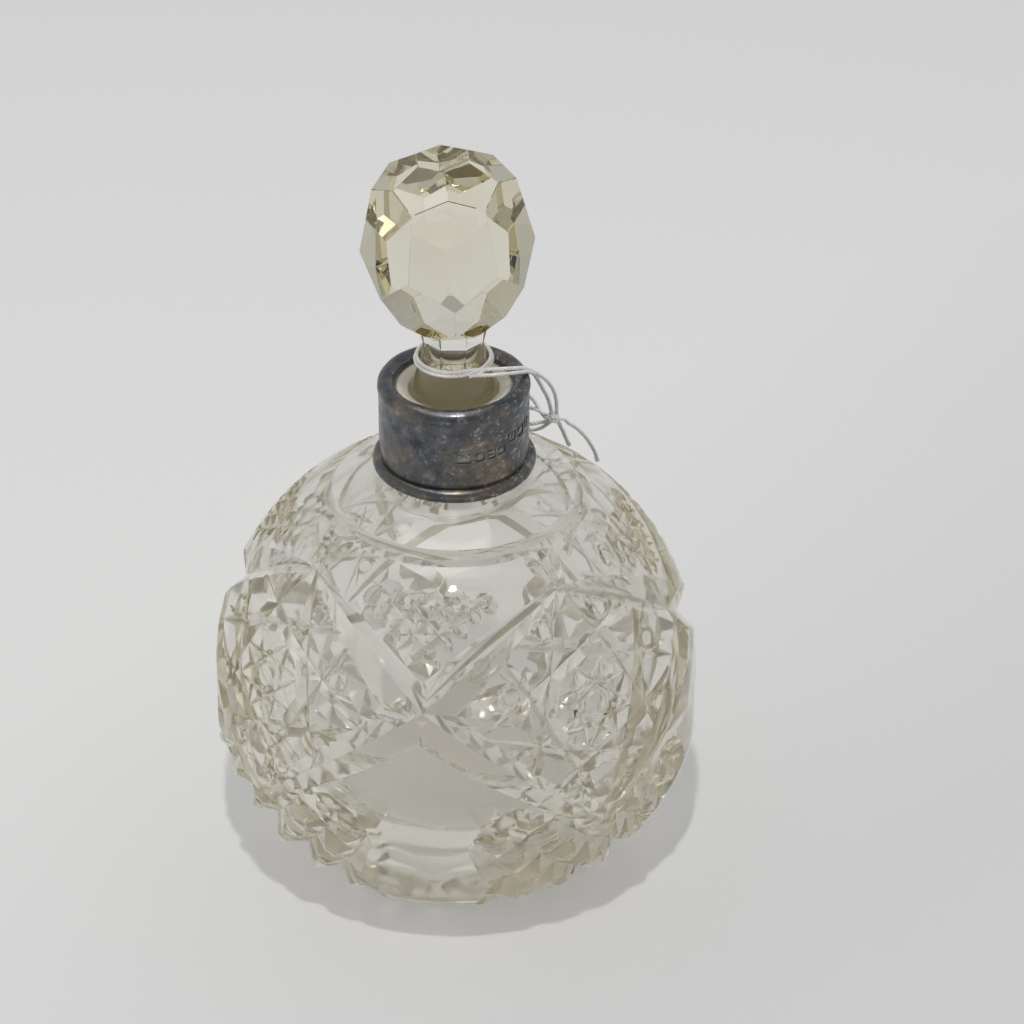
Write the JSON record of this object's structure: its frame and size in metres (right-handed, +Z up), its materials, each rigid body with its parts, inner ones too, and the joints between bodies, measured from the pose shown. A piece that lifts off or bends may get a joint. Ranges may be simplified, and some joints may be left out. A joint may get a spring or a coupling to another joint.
{
  "type": "scent bottle",
  "caption": "Globe scent bottle of cut glass with a silver neck collar and a lift-out ball-faceted glass stopper that has a thread tied round its foot.",
  "frame": {"origin": "centre of the resting face under the base", "axes": "+Z up along the bottle's axis, -Y is the front, which the mark on the collar is near, and +X is the side that the thread hangs on"},
  "size_m": [0.096, 0.096, 0.1531],
  "materials": {
    "glass": "cut and polished lead glass with a faint olive tint",
    "silver": "tarnished silver, dark grey with brown and pale worn patches",
    "plaster": "plaster packing",
    "thread": "twisted white cotton"
  },
  "bodies": {
    "bottle": {"glass_body": "glass", "collar_sleeve": "silver", "collar_bead": "silver", "collar_cement": "plaster"},
    "thread": {"thread_loop": "thread", "thread_legs": "thread", "thread_knot": "thread", "thread_bow": "thread", "thread_tails": "thread"},
    "stopper": {"stopper": "glass"}
  },
  "joints": [
    {"name": "stopper_lift", "type": "slide", "parent": "bottle", "child": "thread", "axis": [0, 0, 1], "range_m": [0, 0.03]},
    {"name": "stopper_turn", "type": "hinge", "parent": "thread", "child": "stopper", "pos_m": [0, 0, 0.104], "axis": [0, 0, 1], "continuous": true}
  ]
}
